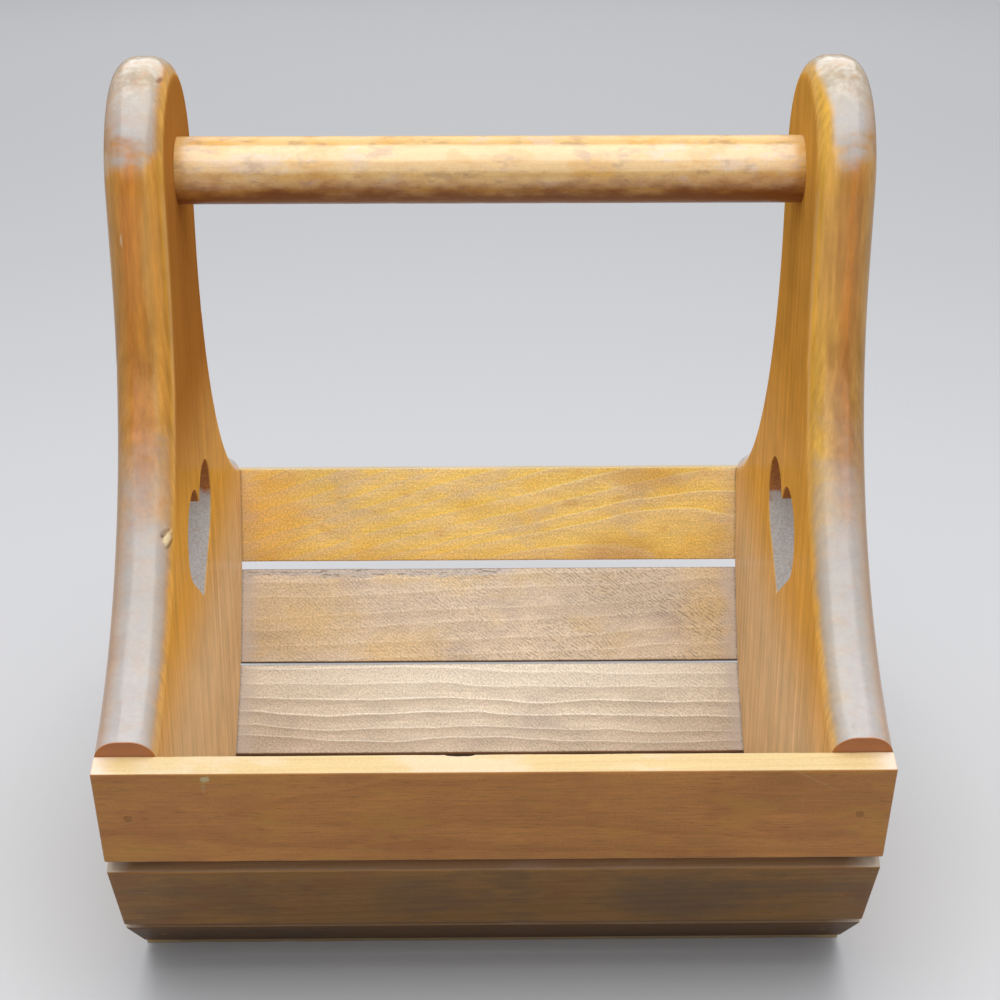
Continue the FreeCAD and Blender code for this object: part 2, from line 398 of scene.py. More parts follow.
def arm_colour(sh, place, from_inside):
    """Streaks along the front of each arm; the two arms were sawn from different boards."""
    x, _, _ = sh.split(place)
    band = sh.add(from_inside, sh.swing(sh.grain(place, (60, 60, 9), (5, 0, 0)), 0.55))
    band = sh.add(band, sh.swing(sh.grain(place, (420, 420, 12), (9, 0, 0)), 0.18))
    return sh.mix(sh.math("GREATER_THAN", x, 0.0), sh.ramp(band, LEFT_ARM), sh.ramp(band, RIGHT_ARM))


def arm_haze_and_sheen(sh, place, from_inside):
    """Painted reflection of the lamps with milky wear, on the front of the arches and the sweeps, 0 to 1."""
    x, _, z = sh.split(place)
    uneven = fray(sh, place, 9.0, 90.0, 0.05)
    inner_edge = sh.add(from_inside, sh.mul(uneven, 2.0))
    edge_band = sh.mul(sh.remap(inner_edge, 0.0, 0.12), sh.remap(from_inside, 1.0, 0.94))
    height = sh.add(z, uneven)
    low_sweep = sh.remap(height, 0.226, 0.168)
    # on the front of the right arch it keeps off the inner edge
    start = sh.mul(sh.math("GREATER_THAN", x, 0.0), sh.remap(z, 0.34, 0.328, 0.0, 0.13))
    arch_edge = sh.remap(sh.sub(sh.add(from_inside, uneven), start), 0.03, 0.2)
    arch = sh.mul(sh.remap(height, 0.306, 0.324), arch_edge)
    mottle = sh.remap(clouds(sh, place, 14.0, 170.0, 0.8), 0.3, 0.6, 0.88, 1.0)
    return sh.mul(sh.mul(sh.larger(low_sweep, arch), edge_band), mottle)


def haze_and_sheen_colour(sh, place, from_inside):
    """Painted reflection on milky wear: silver grey, warm specks, browner at both edges; cream and tan atop
    arches.
    """
    _, _, z = sh.split(place)
    warm = sh.remap(clouds(sh, place, 23.0, 130.0, 0.6), 0.5, 0.7, 0.0, 0.4)
    # silver grey of the painted reflection, lighter low down
    silver_sheen = sh.mix(sh.remap(z, 0.16, 0.09), (171, 169, 166), (184, 187, 192))
    silver_sheen = sh.mix(warm, silver_sheen, (184, 164, 148))
    silver_sheen = sh.mix(sh.remap(from_inside, 0.26, 0.0, 0.0, 0.6), silver_sheen, (156, 134, 110))
    silver_sheen = sh.mix(sh.remap(from_inside, 0.68, 0.98, 0.0, 0.75), silver_sheen, (196, 158, 128))
    silver_sheen = shaded(sh, silver_sheen, speckle(sh, place, 21.0, 600.0), 0.03)
    silver_sheen = shaded(sh, silver_sheen, clouds(sh, place, 41.0, 100.0, 0.3), 0.05)
    grit = sh.remap(speckle(sh, place, 6.0, 260.0), 0.34, 0.7)
    cream = sh.mix(grit, (166, 152, 130), (192, 186, 172))
    blush = sh.remap(clouds(sh, place, 27.0, 190.0, 1.0), 0.5, 0.64, 0.0, 0.45)
    cream = sh.mix(blush, cream, (188, 148, 112))
    top = sh.remap(sh.add(z, sh.mul(grit, 0.003)), 0.326, 0.345)
    return sh.mix(top, silver_sheen, cream)


def heart_wall_share(sh, place, from_inside):
    """One on the sawn walls of the hearts."""
    _, y, z = sh.split(place)
    in_thickness = sh.mul(sh.remap(from_inside, 0.01, 0.03), sh.remap(from_inside, 0.99, 0.97))
    beside = sh.remap(sh.math("ABSOLUTE", y), HEART_HALF_WIDTH, HEART_HALF_WIDTH - 0.002)
    below_top = sh.remap(z, HEART_TOP, HEART_TOP - 0.004)
    above_foot = sh.remap(z, HEART_FOOT, HEART_FOOT + 0.003)
    return sh.mul(in_thickness, sh.mul(sh.mul(beside, below_top), above_foot))


def heart_wall_colour(sh, place):
    """Raw brown saw cut above; below, a mottled silvery sheen, painted where the walls reflect the lamp."""
    _, _, z = sh.split(place)
    border = sh.add(z, fray(sh, place, 7.0, 160.0, 0.02, 1.0))
    grit = sh.remap(speckle(sh, place, 3.0, 900.0), 0.38, 0.64)
    brown = sh.mix(sh.mul(grit, 0.6), (184, 120, 68), (132, 85, 50))
    # painted sheen of the overhead light on the lower walls
    silver_sheen = sh.mix(sh.mul(grit, 0.5), (196, 192, 188), (158, 150, 144))
    rust = sh.remap(clouds(sh, place, 12.0, 210.0, 1.0), 0.56, 0.68, 0.0, 0.3)
    silver_sheen = sh.mix(rust, silver_sheen, (184, 140, 104))
    return sh.mix(sh.remap(border, 0.157, 0.151), brown, silver_sheen)


def cut_end_share(sh, place):
    """One on the panel's short facet that shows above each upper slat."""
    _, y, z = sh.split(place)
    lean = math.tan(math.radians(SIDE_TILTS["upper"]))
    outline = sh.sub(FACET_TOP[0], sh.mul(sh.sub(FACET_TOP[1], z), lean))
    inside = sh.sub(outline, sh.math("ABSOLUTE", y))
    return sh.mul(sh.remap(inside, 0.0006, 0.0002), sh.remap(z, 0.115, 0.118))


def scarred(sh, place, colour):
    """Knocks on the left arm: a chip to bare wood at the inner edge, rubbed spots and a dark nick."""
    x, y, z = sh.split(place)
    front = sh.math("LESS_THAN", y, -0.02)
    rough = fray(sh, place, 8.0, 260.0, 0.0016, 1.0)
    ragged = (sh.add(x, rough), sh.add(z, rough))
    streaked = (ragged[0], z)
    chip = sh.mul(front, soft_spot(sh, ragged, (-0.1201, 0.179), (0.002, 0.003)))
    shadow = sh.mul(front, soft_spot(sh, ragged, (-0.1212, 0.1812), (0.0018, 0.0018)))
    pale_spot = sh.mul(front, soft_spot(sh, streaked, (-0.1385, 0.3115), (0.0016, 0.006)))
    fleck = sh.mul(front, soft_spot(sh, streaked, (-0.134, 0.285), (0.0006, 0.0032)))
    nick = soft_spot(sh, ragged, (-0.1208, 0.3375), (0.0014, 0.001))
    colour = sh.mix(sh.mul(sh.larger(pale_spot, fleck), 0.5), colour, (222, 200, 170))
    colour = sh.mix(sh.mul(nick, 0.7), colour, (126, 76, 52))
    colour = sh.mix(sh.mul(shadow, 0.6), colour, (128, 96, 62))
    colour = sh.mix(sh.mul(chip, 0.9), colour, (234, 212, 168))
    return colour, sh.larger(chip, shadow)


# ---- handle

def make_handle_material():
    """Honey-coloured dowel, its varnish rubbed patchy by hands, with painted shade underneath."""
    sh = Shader("handle_varnish")
    board = board_place(sh)
    along, across, up = sh.split(board)
    fibre = fibres(sh, board, 14.0, 26.0, 1200.0)
    smudge = sh.grain(board, (180, 420, 420), (4, 0, 0), 3.0, 0.65)
    # height over the axis with blots that let the underside's painted shade reach up, further towards the
    # right
    blots = sh.grain(board, (70, 150, 150), (4, 0, 0), 4.0, 0.6)
    level = sh.add(up, sh.swing(blots, 0.016))
    level = sh.sub(level, sh.remap(along, 0.05, 0.115, 0.0, 0.0022))
    # hands have rubbed the varnish thin along the top
    on_top = sh.mul(sh.remap(across, -0.0068, -0.0042), sh.remap(across, 0.01, 0.005))
    rubbed = sh.mul(on_top, sh.remap(up, 0.0, 0.006))
    roughness = sh.add(sh.remap(smudge, 0.4, 0.7, 0.3, 0.42), sh.mul(pores(sh, board, 8.0), 0.2))
    roughness = sh.add(roughness, sh.mul(rubbed, 0.25))
    normal = sh.bump(fibre, 0.3, 0.0001)
    normal = sh.bump(smudge, 0.35, 0.0003, normal)
    coat = sh.mul(sh.remap(level, -0.0095, 0.001, 0.12, 1.0), sh.left_by(rubbed, 0.75))
    colour = handle_colour(sh, board, fibre, smudge, level)
    return sh.surface(colour, roughness, normal, coat=coat, coat_roughness=0.2, coat_ior=1.75)


def handle_colour(sh, board, fibre, smudge, level):
    """Honey with gold, grey and brown blotches, and two browns towards the underside as painted shade."""
    _, _, up = sh.split(board)
    late = growth_rings(sh, board, (0.004, -0.05), (0.02, 0.03), 0.003, 0.005, 21.0)
    colour = wood_colour(sh, (218, 176, 106), (198, 144, 72), sh.mul(late, 0.35), fibre, 0.06)
    colour = tinted(sh, colour, board, [
        ((208, 154, 60), 0.75, 9.0, 110.0, 0.49),
        ((196, 172, 156), 0.45, 17.0, 150.0, 0.53),
        ((150, 114, 72), 0.5, 5.0, 150.0, 0.53),
    ])
    # painted shade: two browns towards the underside
    colour = sh.mix(sh.remap(level, 0.003, -0.005, 0.0, 0.62), colour, (170, 110, 38))
    colour = sh.mix(sh.remap(level, -0.002, -0.0095, 0.0, 0.9), colour, (120, 58, 10))
    darker = sh.mul(sh.remap(smudge, 0.54, 0.72, 0.0, 0.35), sh.remap(up, 0.009, -0.002))
    colour = sh.mix(darker, colour, (120, 82, 52))
    return shaded(sh, colour, speckle(sh, board, 3.0, 800.0), 0.05)


# ---- slats

def make_outer_slat_material(name, tone, seed, pith, gloss, tints, marks=None):
    """Varnished face of a slat: short level fibres under a satin coat, with dirt and rubbed patches."""
    sh = Shader(name)
    board = board_place(sh)
    pale, dark = tone
    late = growth_rings(sh, board, pith, (0.03, 0.02), 0.0034, 0.005, seed)
    fibre = fibres(sh, board, seed + 2.0, 45.0, 900.0)
    colour = wood_colour(sh, pale, dark, sh.mul(late, 0.4), fibre, 0.13)
    colour = shaded(sh, colour, clouds(sh, board, seed + 5.0, 60.0, 0.3), 0.1)
    colour = shaded(sh, colour, speckle(sh, board, seed, 1000.0), 0.07)
    colour = tinted(sh, colour, board, tints)
    if marks:
        _, depth, _ = sh.split(object_place(sh))
        in_front = sh.math("LESS_THAN", depth, 0.0)
        colour = sh.mix(in_front, colour, marks(sh, board, colour))
    dashes = pores(sh, board, seed, 0.6, 0.74)
    pore_colour = tuple(0.4 * channel for channel in linear(dark))
    colour = sh.mix(sh.mul(dashes, 0.4), colour, pore_colour)
    roughness = sh.remap(fibre, 0.2, 0.8, 0.42, 0.6)
    normal = sh.bump(fibre, 0.35, 0.00012)
    normal = sh.bump(late, 0.2, 0.0001, normal)
    return sh.surface(colour, roughness, normal, coat=gloss, coat_roughness=0.25, specular=gloss)


def upper_front_marks(sh, board, colour):
    """Paint drip near the left end and a pale slanting scratch near the right end, in front only."""
    along, across, _ = sh.split(board)
    rough = sh.swing(speckle(sh, board, 4.0, 500.0), 0.003)
    ragged = (sh.add(along, rough), sh.add(across, rough))
    drip = firm_spot(sh, ragged, (-0.1005, 0.0418), (0.0022, 0.0014))
    trail = firm_spot(sh, ragged, (-0.1012, 0.0385), (0.0008, 0.0034))
    colour = sh.mix(sh.mul(drip, 0.75), colour, (206, 196, 150))
    colour = sh.mix(sh.mul(trail, 0.35), colour, (190, 168, 120))
    scratch_height = sh.add(0.0395, sh.mul(sh.sub(along, 0.112), -0.62))
    from_scratch = sh.math("ABSOLUTE", sh.sub(across, scratch_height))
    reach = sh.mul(sh.remap(along, 0.103, 0.107), sh.remap(along, 0.122, 0.117))
    scratch = sh.mul(sh.remap(from_scratch, 0.0007, 0.0), reach)
    return sh.mix(sh.mul(scratch, 0.3), colour, (214, 168, 120))


def middle_front_marks(sh, board, colour):
    """Soot-brown smudges, the larger one towards the right end, in front only."""
    along, _, _ = sh.split(board)
    place = frayed_place(sh, board, 16.0, 70.0, 0.03, 0.4, 0.6)
    large = soft_spot(sh, place, (0.068, 0.02), (0.034, 0.026))
    small = soft_spot(sh, place, (-0.028, 0.024), (0.026, 0.02))
    colour = sh.scaled_colour(colour, sh.remap(along, -0.12, 0.12, 1.08, 0.95, False))
    return sh.mix(sh.add(sh.mul(large, 0.55), sh.mul(small, 0.35)), colour, (92, 78, 64))


def make_inner_slat_material(name, tones, seed, rings, ridges, saw, tints, marks, fade=0.9, dust=0.75):
    """Bare inside of a slat: rough grain with raised lines, saw marks, blotches and dusty ends.

    tones are the colours just after a ring's line, before the next one and of the line itself; fade is
    the share of the year over which the first turns into the second. The line's colour is partly a
    painted highlight on the raised lines, and the darker colour just after it partly a painted shadow
    below them. rings are as for ring_phase, and ridges is the height of the raised lines at the left
    and at the right. saw and dust are amounts.
    """
    sh = Shader(name)
    board = board_place(sh)
    along, _, _ = sh.split(board)
    after, before, line = tones
    year, marked = ring_phase(sh, board, *rings, seed)
    fibre = fibres(sh, board, seed + 2.0, 60.0, 900.0)
    grit = speckle(sh, board, seed)
    through_year = sh.ramp(year, [(0.0, 0.0), (0.12, 0.1), (fade, 1.0)])
    colour = wood_colour(sh, after, before, through_year, fibre, 0.08)
    colour = tinted(sh, colour, board, tints)
    colour = shaded(sh, colour, clouds(sh, board, seed + 5.0, 60.0), 0.08)
    # the line colour is partly a painted highlight on the raised lines
    ridge = sh.mul(sh.mul(sh.ramp(year, RAISED_LINE), marked), sh.remap(along, -0.03, 0.05, *ridges))
    colour = marks(sh, board, sh.mix(ridge, colour, line))
    sawn = sh.mul(saw_marks(sh, board, seed), sh.remap(along, -0.06, 0.05, 0.55 * saw, saw))
    colour = soiled_and_shaded(sh, board, colour, seed, grit, sawn, dust)
    normal = sh.bump(sh.add(sh.mul(fibre, 0.5), sh.mul(grit, 0.5)), 0.7, 0.0003)
    normal = sh.bump(sawn, 0.6, 0.0002, normal)
    normal = sh.bump(ridge, 0.45, 0.0003, normal)
    return sh.surface(colour, sh.remap(grit, 0.3, 0.7, 0.6, 0.8), normal, specular=0.3)


def soiled_and_shaded(sh, board, colour, seed, grit, sawn, dust):
    """Grit, brown flecks, saw marks, dusty ends and painted corner shade over the colour of bare wood."""
    colour = shaded(sh, colour, grit, 0.21)
    flecks = sh.remap(speckle(sh, board, seed + 3.0, 650.0), 0.66, 0.74)
    colour = sh.mix(sh.mul(flecks, 0.5), colour, (104, 76, 52))
    colour = sh.scaled_colour(colour, sh.left_by(sawn, 0.38))
    colour = sh.mix(end_dust(sh, board, grit, dust), colour, (204, 194, 188))
    # painted shade in the corners and along the edges
    return sh.mix(painted_corner_shade(sh, board, grit), colour, (70, 54, 42))


def end_dust(sh, board, grit, amount):
    """Greyish dust towards the panels."""
    along, _, _ = sh.split(board)
    reach = sh.add(sh.math("ABSOLUTE", along), fray(sh, board, 19.0, 90.0, 0.02))
    return sh.mul(sh.remap(reach, 0.107, 0.118, 0.0, amount), sh.remap(grit, 0.35, 0.6, 0.6, 1.0))


def painted_corner_shade(sh, board, grit):
    """Painted shade in the corners where the slat meets the panels, and a thin line of it along its edges.
    """
    along, across, _ = sh.split(board)
    uneven = sh.swing(grit, 0.004)
    near_end = sh.remap(sh.add(sh.math("ABSOLUTE", along), uneven), PANEL_INNER_X - MM, PANEL_INNER_X)
    from_edge = sh.math("MINIMUM", across, sh.sub(SLAT_WIDTH, across))
    near_edge = sh.remap(sh.add(from_edge, sh.mul(uneven, 0.3)), 0.0008, 0.0)
    return sh.larger(sh.mul(near_end, 0.5), sh.mul(near_edge, 0.25))


def saw_marks(sh, board, seed):
    """Slanting broken marks of a band saw, 0 to 1, fading in and out."""
    along, across, _ = sh.split(board)
    slanted = sh.add(sh.mul(along, 400.0), sh.mul(across, 520.0))
    wobble = sh.grain(board, (60, 60, 60), (seed, 0, 0))
    phase = sh.mul(sh.add(slanted, sh.mul(wobble, 5.0)), 2 * math.pi)
    wave = sh.add(sh.mul(sh.math("SINE", phase), 0.5), 0.5)
    fade = sh.remap(sh.grain(board, (22, 60, 60), (seed + 3.0, 0, 0)), 0.32, 0.58)
    broken = sh.remap(sh.grain(board, (260, 430, 430), (seed, 0, 2), 1.0), 0.42, 0.56)
    return sh.mul(sh.mul(sh.remap(wave, 0.55, 1.0), fade), broken)


def upper_rear_blush(sh, board, colour):
    """Browner foot, patches low and high right of the middle, a knot, and orange at the left end."""
    place = frayed_place(sh, board, 33.0, 120.0, 0.02)
    foot = sh.remap(place[1], 0.01, 0.0, 0.0, 0.3)
    low = soft_spot(sh, place, (0.062, 0.003), (0.024, 0.013))
    high = soft_spot(sh, place, (0.072, 0.04), (0.026, 0.008))
    knot = soft_spot(sh, place, (0.038, 0.027), (0.007, 0.0025))
    orange = soft_spot(sh, place, (-0.112, 0.024), (0.034, 0.034))
    browner = sh.larger(sh.mul(sh.larger(low, high), 0.45), sh.mul(knot, 0.4))
    colour = sh.mix(foot, colour, (198, 144, 66))
    colour = sh.mix(sh.mul(orange, 0.4), colour, (230, 166, 74))
    return sh.mix(browner, colour, (190, 140, 74))


def middle_rear_marks(sh, board, colour):
    """Golden patches at the left, below and at the right end, and a grey one towards the right."""
    place = frayed_place(sh, board, 36.0, 90.0, 0.03)
    gold = sh.mul(soft_spot(sh, place, (-0.041, 0.005), (0.03, 0.014)), 0.4)
    for centre, size in (((-0.09, 0.02), (0.04, 0.024)), ((0.106, 0.024), (0.022, 0.036))):
        gold = sh.larger(gold, sh.mul(soft_spot(sh, place, centre, size), 0.3))
    colour = sh.mix(gold, colour, (222, 186, 116))
    grey = soft_spot(sh, place, (0.062, 0.032), (0.046, 0.026))
    colour = sh.mix(sh.mul(grey, 0.3), colour, (180, 168, 156))
    return middle_rear_top(sh, board, colour)


def middle_rear_top(sh, board, colour):
    """Bluish rough band along the top edge of the slat's left part."""
    along, across, _ = sh.split(board)
    rough = fray(sh, board, 11.0, 240.0, 0.007, 0.3)
    band = sh.remap(sh.add(across, rough), SLAT_WIDTH - 0.004, SLAT_WIDTH - 0.003)
    band = sh.mul(band, sh.remap(along, 0.016, 0.006))
    fleck = sh.remap(sh.grain(board, (170, 900, 900), (6, 0, 0)), 0.54, 0.64)
    grey = sh.mix(sh.mul(fleck, 0.7), (196, 188, 182), (96, 86, 80))
    return sh.mix(sh.mul(band, 0.85), colour, grey)


def lighter_top(sh, board, colour):
    """Lighter cream over the slat's upper third, browner along its foot."""
    _, across, _ = sh.split(board)
    reach = sh.add(across, fray(sh, board, 13.0, 60.0, 0.02, 0.3))
    colour = sh.mix(sh.remap(reach, 0.02, 0.004, 0.0, 0.3), colour, (178, 154, 132))
    return sh.mix(sh.remap(reach, 0.024, 0.038, 0.0, 0.52), colour, (236, 228, 212))


def make_edge_material(name, pale, dark, worn, ends, seed, gloss):
    """Sanded edge of a slat, rubbed to bare wood in places and at its ends."""
    sh = Shader(name)
    board = board_place(sh)
    along, _, _ = sh.split(board)
    late = growth_rings(sh, board, (0.01, 0.03), (0.03, 0.02), 0.0024, 0.003, seed)
    fibre = fibres(sh, board, seed + 2.0, 24.0, 1300.0)
    colour = wood_colour(sh, pale, dark, sh.mul(late, 0.4), fibre, 0.06)
    colour = tinted(sh, colour, board, [(worn, 0.55, seed + 3.0, 50.0, 0.5)])
    colour = shaded(sh, colour, speckle(sh, board, seed, 900.0), 0.05)
    reach = sh.add(sh.math("ABSOLUTE", along), fray(sh, board, seed, 80.0, 0.02))
    colour = sh.mix(sh.remap(reach, 0.128, 0.139, 0.0, 0.75), colour, ends)
    normal = sh.bump(fibre, 0.3, 0.00012)
    roughness = sh.remap(fibre, 0.2, 0.8, 0.4, 0.55)
    return sh.surface(colour, roughness, normal, coat=gloss, coat_roughness=0.3, specular=gloss)


def make_end_grain_material():
    """Sawn end of a slat: rings cut across, darker where the finish soaked in."""
    sh = Shader("slat_end_grain")
    board = board_place(sh)
    late = growth_rings(sh, board, (0.01, -0.03), (0.0, 0.0), 0.0016, 0.001, 41.0)
    grit = speckle(sh, board, 2.0, 1800.0)
    colour = sh.mix(sh.mul(late, 0.8), (196, 140, 84), (128, 76, 38))
    colour = shaded(sh, colour, grit, 0.2)
    normal = sh.bump(grit, 0.5, 0.0002)
    return sh.surface(colour, sh.remap(grit, 0.3, 0.7, 0.55, 0.75), normal, coat=0.15, coat_roughness=0.3)


def make_filler_material():
    """Putty in the nail holes, stained with the slats: dull brown with pits."""
    sh = Shader("nail_filler")
    place = object_place(sh)
    grit = speckle(sh, place, 5.0, 2500.0)
    colour = sh.mix(sh.remap(grit, 0.3, 0.7), (150, 102, 56), (180, 126, 68))
    normal = sh.bump(grit, 0.6, 0.0002)
    return sh.surface(colour, sh.remap(grit, 0.3, 0.7, 0.5, 0.8), normal)


def make_steel_material():
    """Plain steel of nails and screws, slightly grained."""
    sh = Shader("fastener_steel")
    grit = speckle(sh, object_place(sh), 6.0, 3000.0)
    colour = sh.mix(grit, (150, 150, 152), (196, 196, 198))
    return sh.metal(colour, sh.remap(grit, 0.3, 0.7, 0.28, 0.5), sh.bump(grit, 0.3, 0.0001))


# ---- meshes

def new_object(name, data):
    """Object in the scene that shows a mesh, lamp or camera."""
    made = bpy.data.objects.new(name, data)
    bpy.context.scene.collection.objects.link(made)
    return made


def new_piece(name, mesh, materials, slot, *nodes):
    """Piece in the scene that stands for CAD nodes."""
    piece = new_object(name, mesh)
    for material in materials:
        mesh.materials.append(material)
    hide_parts(*nodes)
    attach(piece, "root")


SMOOTH_ANGLE = 42


def finished_mesh(name, bm):
    """Mesh with outward faces and smooth shading that breaks at sharp edges."""
    bmesh.ops.recalc_face_normals(bm, faces=bm.faces)
    mesh = bpy.data.meshes.new(name)
    bm.to_mesh(mesh)
    bm.free()
    mesh.polygons.foreach_set("use_smooth", [True] * len(mesh.polygons))
    mesh.set_sharp_from_angle(angle=math.radians(SMOOTH_ANGLE))
    return mesh


def slat_frame(node, tilt, side):
    """Origin and axes of a slat: along it, up its face and out of its face. side is -1 in front."""
    lean = math.radians(tilt)
    along = Vector((1, 0, 0))
    up_face = Vector((0, side * math.sin(lean), math.cos(lean)))
    outwards = Vector((0, side * math.cos(lean), -math.sin(lean)))
    points = np.array([vertex.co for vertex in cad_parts[node].data.vertices])
    low_up = float((points @ np.array(up_face)).min())
    low_out = float((points @ np.array(outwards)).min())
    return up_face * low_up + outwards * low_out, (along, up_face, outwards)


# a slat's mesh: steps round its corners and ends, points across its faces and edges, rows along it
CORNER_STEPS = 4
END_STEPS = 3
FACE_POINTS = 18
EDGE_POINTS = 5
ROW_COUNT = 141
EDGE_RADIUS = 0.0007
# extra lines round the middle of a nail hole, in mm
NAIL_LINES = (-1.9, -1.62, -1.45, -1.0, -0.45, 0.45, 1.0, 1.45, 1.62, 1.9)
DIMPLE_RADIUS = 1.5 * MM
DIMPLE_DEPTH = 0.35 * MM
WEAR_REACH = 1.6 * MM
# corners of a slat's section as shares of its width and thickness
SECTION_CORNERS = ((0, 0), (1, 0), (1, 1), (0, 1))
# material slots of a slat
OUTSIDE, INSIDE, LONG_EDGE, END_GRAIN = range(4)


def section_ring():
    """Slat's cross-section as points (across, through), counter-clockwise from its inner lower corner."""
    ring = []
    for index in range(4):
        ring.extend(arc_point(index, step) for step in range(CORNER_STEPS + 1))
        ring.extend(points_between(ring[-1], arc_point((index + 1) % 4, 0), index))
    return ring


def arc_point(index, step):
    """Point on a rounded corner of the section, a number of steps round it."""
    across_share, through_share = SECTION_CORNERS[index]
    angle = math.radians(180 + 90 * index + 90 * step / CORNER_STEPS)
    across = across_share * (SLAT_WIDTH - 2 * EDGE_RADIUS) + EDGE_RADIUS * (1 + math.cos(angle))
    through = through_share * (SLAT_THICKNESS - 2 * EDGE_RADIUS) + EDGE_RADIUS * (1 + math.sin(angle))
    return (across, through)


def points_between(start, end, index):
    """Points along the flat after a corner, closer together near both corners and at the nails."""
    on_face = index in (0, 2)
    count = FACE_POINTS if on_face else EDGE_POINTS
    places = [0.5 - 0.5 * math.cos(math.pi * (k + 1) / (count + 1)) for k in range(count)]
    if on_face:
        flat_width = SLAT_WIDTH - 2 * EDGE_RADIUS
        places = sorted(places + [0.5 + offset * MM / flat_width for offset in NAIL_LINES])
    start = np.array(start)
    return [tuple(start + (np.array(end) - start) * place) for place in places]


def stations(extra):
    """Places along a slat between its rounded ends, closer together at nails and extra places."""
    half = SLAT_HALF_LENGTH - EDGE_RADIUS
    places = set(round(x, 6) for x in np.linspace(-half, half, ROW_COUNT))
    for side in (-1, 1):
        places.update(round(side * NAIL_X + offset * MM, 6) for offset in NAIL_LINES)
    for centre, reach in extra:
        places.update(round(x, 6) for x in np.arange(centre - reach, centre + reach, 0.5 * MM))
    return sorted(places)


def wear_at(x, corner, seed, chips):
    """How far an arris is worn in, in metres. A chip is (corner, centre along, half length, depth)."""
    rub = noise.noise(Vector((x * 55.0, corner * 3.7, seed)))
    nick = noise.noise(Vector((x * 330.0, corner * 5.1, seed + 9.0)))
    depth = 0.14 * MM * max(0.0, 0.35 + rub) + 0.16 * MM * max(0.0, nick - 0.15)
    for chip_corner, centre, reach, deep in chips:
        if chip_corner == corner and abs(x - centre) < reach:
            shape = 1.0 - ((x - centre) / reach) ** 2
            ragged = 0.75 + 0.5 * noise.noise(Vector((x * 900.0, seed, 2.0)))
            depth += deep * math.sqrt(shape) * ragged
    return depth


def make_slat(name, node, tilt, side, looks, seed, chips=()):
    """Slat with worn arrises, dimpled nail holes and its own board frame kept on the mesh."""
    origin, axes = slat_frame(node, tilt, side)
    ring = section_ring()
    bm = bmesh.new()
    board = bm.verts.layers.float_vector.new("board")
    lines = []
    for x, inset in slat_rows(chips):
        line = []
        for across, through in ring:
            place = slat_point(x, across, through, inset, seed, chips)
            vertex = bm.verts.new(origin + sum((axis * value for axis, value in zip(axes, place)), Vector()))
            vertex[board] = Vector(place)
            line.append(vertex)
        lines.append(line)
    join_slat_lines(bm, lines, ring)
    for line in (lines[0], lines[-1]):
        bm.faces.new(line).material_index = END_GRAIN
    new_piece(name, finished_mesh(name, bm), looks, "slat_wood", node)


def slat_rows(chips):
    """Rows along a slat as (x, inset); the inset rounds its ends."""
    ends = []
    for k in range(END_STEPS):
        angle = math.pi / 2 * k / END_STEPS
        x = -SLAT_HALF_LENGTH + EDGE_RADIUS * (1 - math.cos(angle))
        ends.append((x, EDGE_RADIUS * (1 - math.sin(angle))))
    near_chips = [(centre, reach + MM) for _, centre, reach, _ in chips]
    between = [(x, 0.0) for x in stations(near_chips)]
    return ends + between + [(-x, inset) for x, inset in reversed(ends)]


def slat_point(x, across, through, inset, seed, chips):
    """A point of the slat in its own frame after end rounding, wear and the nail dimples."""
    middle_across = SLAT_WIDTH / 2
    middle_through = SLAT_THICKNESS / 2
    across = middle_across + (across - middle_across) * (1.0 - inset / middle_across)
    through = middle_through + (through - middle_through) * (1.0 - inset / middle_through)
    for index, (corner_across, corner_through) in enumerate(SECTION_CORNERS):
        away = math.hypot(across - corner_across * SLAT_WIDTH, through - corner_through * SLAT_THICKNESS)
        if away < WEAR_REACH:
            # worn in along the diagonal, with the same share across and through
            depth = wear_at(x, index, seed, chips) * (1.0 - away / WEAR_REACH) ** 0.7
            across -= depth * (1 if corner_across else -1) * 0.7
            through -= depth * (1 if corner_through else -1) * 0.7
    from_nail = math.hypot(abs(x) - NAIL_X, across - middle_across)
    if from_nail < DIMPLE_RADIUS and through > middle_through:
        through -= DIMPLE_DEPTH
    return (x, across, through)


def join_lines(bm, first, second):
    """Faces between two neighbouring rings of vertices, in their order."""
    next_first, next_second = (line[1:] + line[:1] for line in (first, second))
    return [bm.faces.new(corners) for corners in zip(first, next_first, next_second, second)]


def join_slat_lines(bm, lines, ring):
    """A slat's faces, each with the material of its side."""
    sides = []
    for (across, through), (next_across, next_through) in zip(ring, ring[1:] + ring[:1]):
        sides.append(side_of((across + next_across) / 2, (through + next_through) / 2))
    for first, second in zip(lines, lines[1:]):
        for face, side in zip(join_lines(bm, first, second), sides):
            face.material_index = side


def side_of(across, through):
    """Material slot of a place on the section; rounded corners belong to the faces."""
    if across < 0.4 * EDGE_RADIUS or across > SLAT_WIDTH - 0.4 * EDGE_RADIUS:
        return LONG_EDGE
    return OUTSIDE if through > SLAT_THICKNESS / 2 else INSIDE


HANDLE_SIDES = 96
HANDLE_ROWS = 150
DENT_DEPTH = 0.08 * MM


